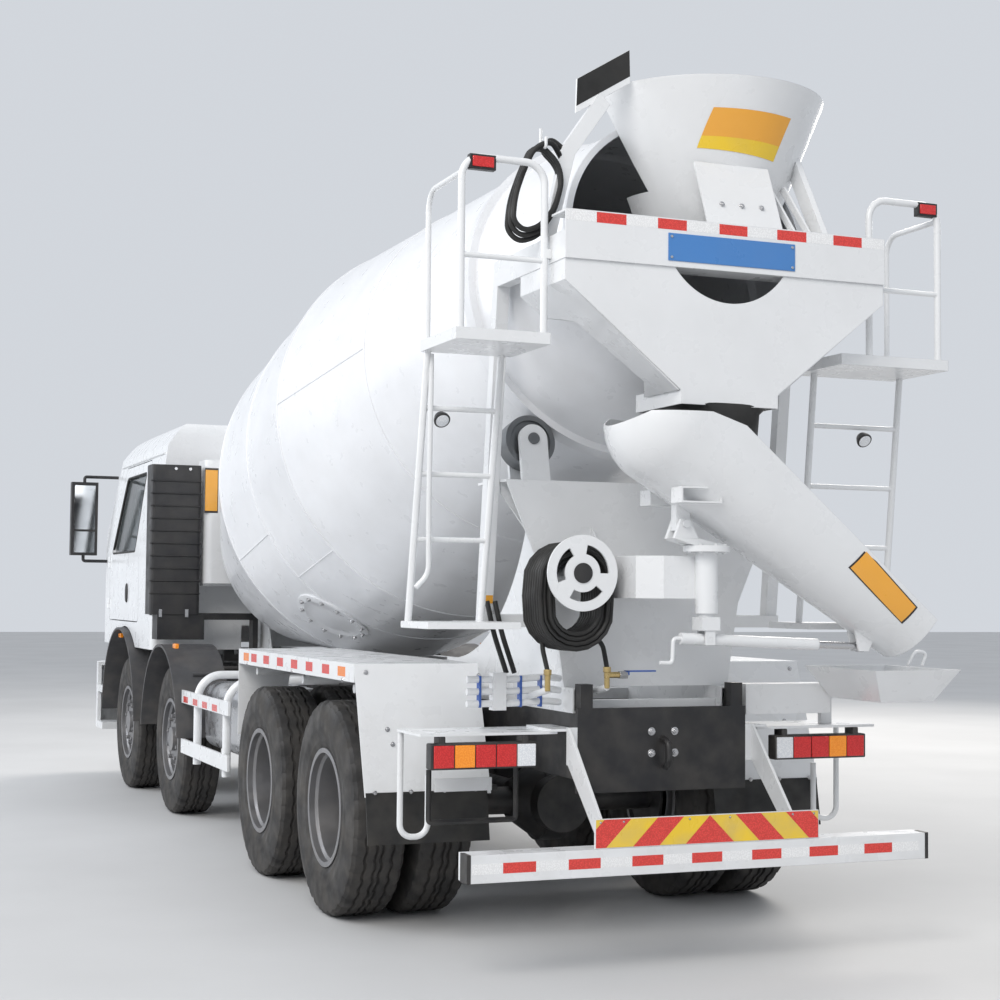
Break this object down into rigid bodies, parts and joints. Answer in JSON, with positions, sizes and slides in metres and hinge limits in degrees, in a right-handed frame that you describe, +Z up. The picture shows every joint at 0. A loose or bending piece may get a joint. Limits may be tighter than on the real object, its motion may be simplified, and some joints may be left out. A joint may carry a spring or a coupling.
{
  "type": "concrete mixer truck",
  "caption": "Heavy truck with a white cab, a tilted mixing drum, a feed hopper over its mouth, a swinging discharge chute, ladders and mudguards.",
  "frame": {"origin": "on the ground, under the middle of the truck's length and width", "axes": "+Y forwards to the cab, +X to the truck's right side, +Z up"},
  "size_m": [3.04, 9.66, 4.065],
  "materials": {
    "white_paint": "gloss",
    "chassis_black": "satin",
    "wheel_silver": "satin",
    "tank_silver": "satin",
    "bare_steel": "satin",
    "roller_iron": "machined rims",
    "grey_plastic": "matt",
    "black_plastic": "matt",
    "lamp_red": "gloss",
    "hose_rubber": "matt",
    "tyre_rubber": "matt",
    "tinted_glass": "clear",
    "seat_cloth": "woven"
  },
  "bodies": {
    "truck": {"frame_rails": "chassis_black", "subframe": "white_paint", "front_pedestal": "white_paint", "rear_pedestal": "white_paint", "steer_axles": "chassis_black", "drive_axles": "chassis_black", "leaf_springs": "chassis_black", "engine": "chassis_black", "fuel_tank": "tank_silver", "air_tanks": "tank_silver", "side_guards": "white_paint", "front_mudguards": "grey_plastic", "rear_mudguards": "white_paint", "lamp_shelves": "white_paint", "tail_lamps": "lamp_red", "rear_guard": "white_paint", "bumper": "white_paint", "air_intake": "black_plastic", "gearbox": "chassis_black", "hopper_frame": "white_paint", "feed_hopper": "white_paint", "collecting_hopper": "white_paint", "hose_hanger": "white_paint", "wash_hose": "hose_rubber", "ladders": "white_paint", "drip_tray": "white_paint"},
    "drum": {"drum": "white_paint"},
    "roller_left": {"roller_left": "roller_iron"},
    "roller_right": {"roller_right": "roller_iron"},
    "cab": {"cab_shell": "white_paint", "cab_glass": "tinted_glass", "cab_seats": "seat_cloth", "dashboard": "grey_plastic", "mirrors": "black_plastic"},
    "door_left": {"door_left": "white_paint"},
    "door_right": {"door_right": "white_paint"},
    "chute_arm": {"chute_arm": "white_paint"},
    "chute": {"chute": "white_paint"},
    "jack_tube": {"jack_tube": "white_paint"},
    "jack_rod": {"jack_rod": "bare_steel"},
    "knuckle_1_left": {"knuckle_1_left": "chassis_black"},
    "wheel_1_left": {"wheel_1_left": "wheel_silver", "tyre_1_left": "tyre_rubber"},
    "knuckle_1_right": {"knuckle_1_right": "chassis_black"},
    "wheel_1_right": {"wheel_1_right": "wheel_silver", "tyre_1_right": "tyre_rubber"},
    "knuckle_2_left": {"knuckle_2_left": "chassis_black"},
    "wheel_2_left": {"wheel_2_left": "wheel_silver", "tyre_2_left": "tyre_rubber"},
    "knuckle_2_right": {"knuckle_2_right": "chassis_black"},
    "wheel_2_right": {"wheel_2_right": "wheel_silver", "tyre_2_right": "tyre_rubber"},
    "wheels_3_left": {"wheels_3_left": "wheel_silver", "tyres_3_left": "tyre_rubber"},
    "wheels_3_right": {"wheels_3_right": "wheel_silver", "tyres_3_right": "tyre_rubber"},
    "wheels_4_left": {"wheels_4_left": "wheel_silver", "tyres_4_left": "tyre_rubber"},
    "wheels_4_right": {"wheels_4_right": "wheel_silver", "tyres_4_right": "tyre_rubber"}
  },
  "joints": [
    {"name": "drum_spin", "type": "hinge", "parent": "truck", "child": "drum", "pos_m": [0, -0.42, 2.43], "axis": [0, -0.9796, 0.2011], "continuous": true},
    {"name": "roller_left_spin", "type": "hinge", "parent": "truck", "child": "roller_left", "pos_m": [-0.56, -3.80573, 2.34754], "axis": [0, -0.9796, 0.2011], "continuous": true},
    {"name": "roller_right_spin", "type": "hinge", "parent": "truck", "child": "roller_right", "pos_m": [0.56, -3.80573, 2.34754], "axis": [0, -0.9796, 0.2011], "continuous": true},
    {"name": "steer_1_left", "type": "hinge", "parent": "truck", "child": "knuckle_1_left", "pos_m": [-0.852, 3.38, 0.5425], "axis": [0, 0, 1], "range_deg": [-35, 35]},
    {"name": "steer_1_right", "type": "hinge", "parent": "truck", "child": "knuckle_1_right", "pos_m": [0.852, 3.38, 0.5425], "axis": [0, 0, 1], "range_deg": [-35, 35]},
    {"name": "steer_2_left", "type": "hinge", "parent": "truck", "child": "knuckle_2_left", "pos_m": [-0.852, 1.58, 0.5425], "axis": [0, 0, 1], "range_deg": [-24, 24]},
    {"name": "steer_2_right", "type": "hinge", "parent": "truck", "child": "knuckle_2_right", "pos_m": [0.852, 1.58, 0.5425], "axis": [0, 0, 1], "range_deg": [-24, 24]},
    {"name": "wheel_1_left_spin", "type": "hinge", "parent": "knuckle_1_left", "child": "wheel_1_left", "pos_m": [-1.022, 3.38, 0.5425], "axis": [1, 0, 0], "continuous": true},
    {"name": "wheel_1_right_spin", "type": "hinge", "parent": "knuckle_1_right", "child": "wheel_1_right", "pos_m": [1.022, 3.38, 0.5425], "axis": [1, 0, 0], "continuous": true},
    {"name": "wheel_2_left_spin", "type": "hinge", "parent": "knuckle_2_left", "child": "wheel_2_left", "pos_m": [-1.022, 1.58, 0.5425], "axis": [1, 0, 0], "continuous": true},
    {"name": "wheel_2_right_spin", "type": "hinge", "parent": "knuckle_2_right", "child": "wheel_2_right", "pos_m": [1.022, 1.58, 0.5425], "axis": [1, 0, 0], "continuous": true},
    {"name": "wheels_3_left_spin", "type": "hinge", "parent": "truck", "child": "wheels_3_left", "pos_m": [-0.925, -1.42, 0.5425], "axis": [1, 0, 0], "continuous": true},
    {"name": "wheels_3_right_spin", "type": "hinge", "parent": "truck", "child": "wheels_3_right", "pos_m": [0.925, -1.42, 0.5425], "axis": [1, 0, 0], "continuous": true},
    {"name": "wheels_4_left_spin", "type": "hinge", "parent": "truck", "child": "wheels_4_left", "pos_m": [-0.925, -2.77, 0.5425], "axis": [1, 0, 0], "continuous": true},
    {"name": "wheels_4_right_spin", "type": "hinge", "parent": "truck", "child": "wheels_4_right", "pos_m": [0.925, -2.77, 0.5425], "axis": [1, 0, 0], "continuous": true},
    {"name": "cab_tilt", "type": "hinge", "parent": "truck", "child": "cab", "pos_m": [0, 4.45, 1.136], "axis": [-1, 0, 0], "range_deg": [0, 50]},
    {"name": "door_left_swing", "type": "hinge", "parent": "cab", "child": "door_left", "pos_m": [-1.197, 4.194, 1.48], "axis": [0, 0, -1], "range_deg": [0, 68]},
    {"name": "door_right_swing", "type": "hinge", "parent": "cab", "child": "door_right", "pos_m": [1.197, 4.194, 1.48], "axis": [0, 0, 1], "range_deg": [0, 68]},
    {"name": "chute_swing", "type": "hinge", "parent": "truck", "child": "chute_arm", "pos_m": [0, -4.55, 1.7], "axis": [0, 0, 1], "range_deg": [-160, 0]},
    {"name": "chute_tilt", "type": "hinge", "parent": "chute_arm", "child": "chute", "pos_m": [-0.13, -4.55, 1.95], "axis": [0, -1, 0], "range_deg": [-2, 10]},
    {"name": "jack_swing", "type": "hinge", "parent": "chute_arm", "child": "jack_tube", "pos_m": [0, -4.55, 1.44], "axis": [0, -1, 0], "range_deg": [-3, 12]},
    {"name": "jack_stroke", "type": "slide", "parent": "jack_tube", "child": "jack_rod", "axis": [0.9992, 0, -0.04], "range_m": [-0.03, 0.1]}
  ],
  "couplings": [
    {"joint": "roller_left_spin", "follows": "drum_spin", "ratio": -6.56},
    {"joint": "roller_right_spin", "follows": "drum_spin", "ratio": -6.56},
    {"joint": "steer_1_right", "follows": "steer_1_left", "ratio": 1},
    {"joint": "steer_2_left", "follows": "steer_1_left", "ratio": 0.67},
    {"joint": "steer_2_right", "follows": "steer_1_left", "ratio": 0.67},
    {"joint": "jack_swing", "follows": "chute_tilt", "ratio": 1.14},
    {"joint": "jack_stroke", "follows": "chute_tilt", "m_per_rad": 0.511}
  ]
}
